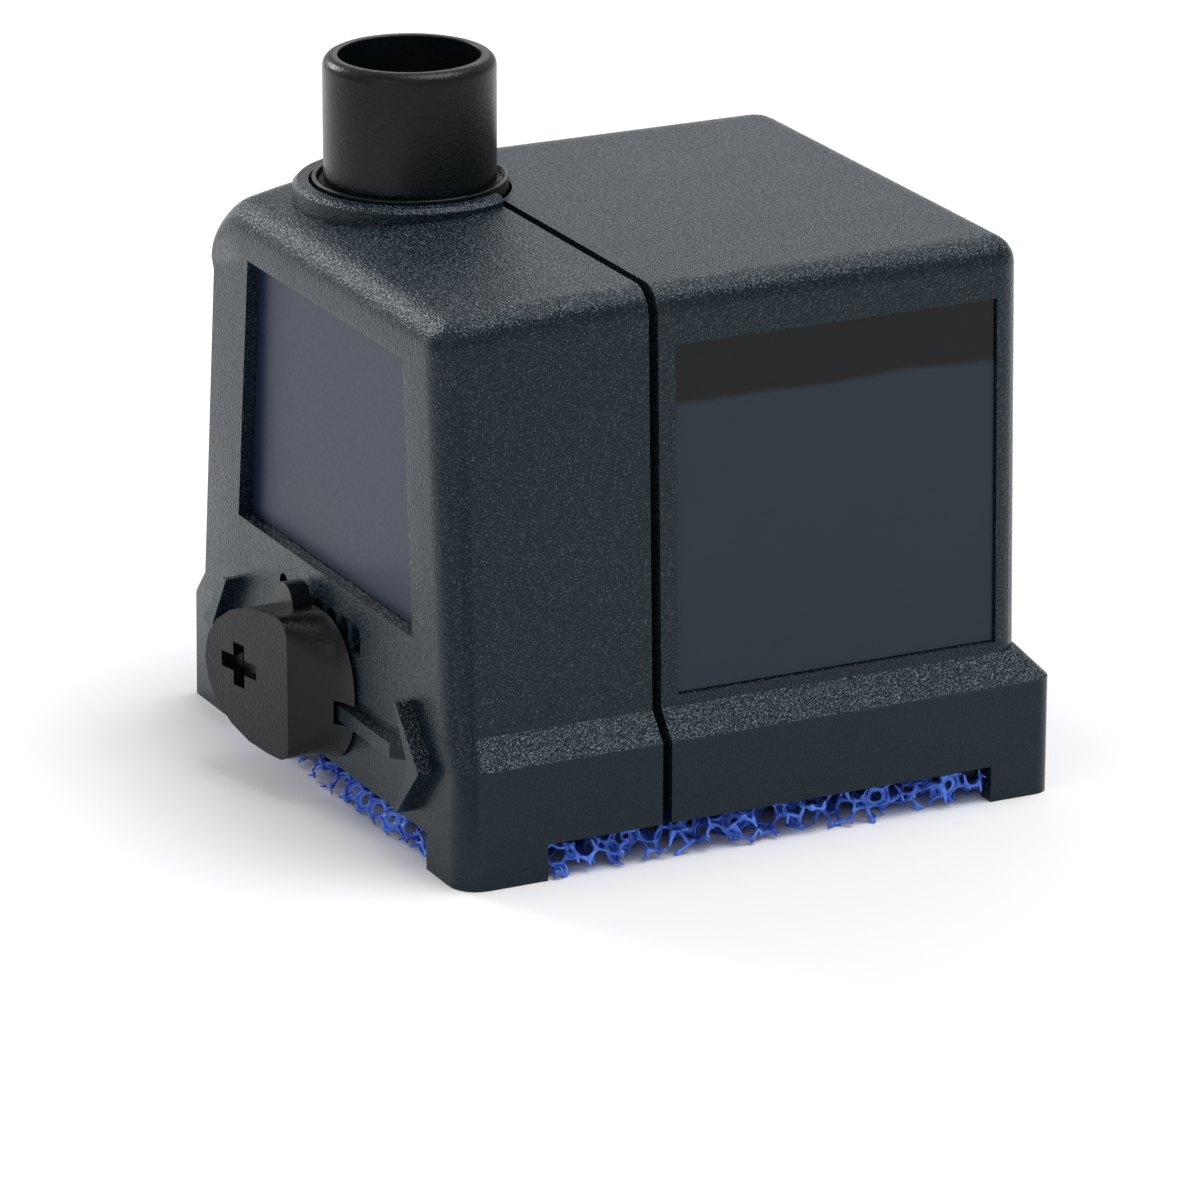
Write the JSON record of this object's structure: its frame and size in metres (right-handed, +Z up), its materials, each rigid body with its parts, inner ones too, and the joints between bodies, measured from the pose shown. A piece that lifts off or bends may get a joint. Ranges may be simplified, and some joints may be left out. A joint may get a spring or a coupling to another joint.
{
  "type": "submersible pump",
  "caption": "Small box-shaped submersible pump with a round hose outlet, sliding flow regulator, two-part casing and foam base filter.",
  "frame": {"origin": "on the floor, under the middle of the part's bounding box", "axes": "+Z up, -Y out of the front face that carries the flow regulator, +X to the right seen from the front"},
  "size_m": [0.0712, 0.0804, 0.0783],
  "materials": {
    "casing_plastic": "spark-eroded texture",
    "slider_plastic": "fine satin",
    "nozzle_plastic": "fine satin",
    "label_panel": "smooth satin",
    "foam": "open-cell foam",
    "inner_plastic": "moulded",
    "impeller_plastic": "moulded",
    "magnet": "ground",
    "shaft": "polished",
    "seal_rubber": "moulded",
    "core_steel": "laminated",
    "winding": "enamelled copper wire",
    "screw_steel": "bright"
  },
  "bodies": {
    "pump": {"front_cover": "casing_plastic", "front_label": "label_panel", "filter_foam": "foam", "base_grille": "inner_plastic", "motor_case": "inner_plastic", "motor_cushion_left": "seal_rubber", "motor_cushion_right": "seal_rubber", "motor_end_plate": "inner_plastic", "cable_gland": "seal_rubber", "rotor_can": "inner_plastic", "pump_chamber": "inner_plastic", "chamber_seal": "seal_rubber", "chamber_cover": "inner_plastic", "front_bush": "seal_rubber", "rear_bush": "seal_rubber", "cover_screw_1": "screw_steel", "cover_screw_2": "screw_steel", "cover_screw_3": "screw_steel", "rotor_shaft": "shaft", "stator_core": "core_steel", "coil_bobbin_left": "inner_plastic", "coil_bobbin_right": "inner_plastic", "winding_left": "winding", "winding_right": "winding"},
    "rear_casing": {"rear_cover": "casing_plastic", "side_label": "label_panel"},
    "nozzle": {"outlet_nozzle": "nozzle_plastic", "nozzle_o_ring": "seal_rubber"},
    "regulator": {"regulator_slider": "slider_plastic", "regulator_gate": "inner_plastic"},
    "rotor": {"impeller": "impeller_plastic", "rotor_magnet": "magnet"}
  },
  "joints": [
    {"name": "rear_cover_slide", "type": "slide", "parent": "pump", "child": "rear_casing", "axis": [0, 1, 0], "range_m": [0, 0.055]},
    {"name": "nozzle_slide", "type": "slide", "parent": "pump", "child": "nozzle", "axis": [0, 0, 1], "range_m": [0, 0.013]},
    {"name": "regulator_slide", "type": "slide", "parent": "pump", "child": "regulator", "axis": [1, 0, 0], "range_m": [-0.0035, 0.0095]},
    {"name": "rotor_spin", "type": "hinge", "parent": "pump", "child": "rotor", "pos_m": [0, 0.01224, 0.0298], "axis": [0, 1, 0], "continuous": true}
  ]
}
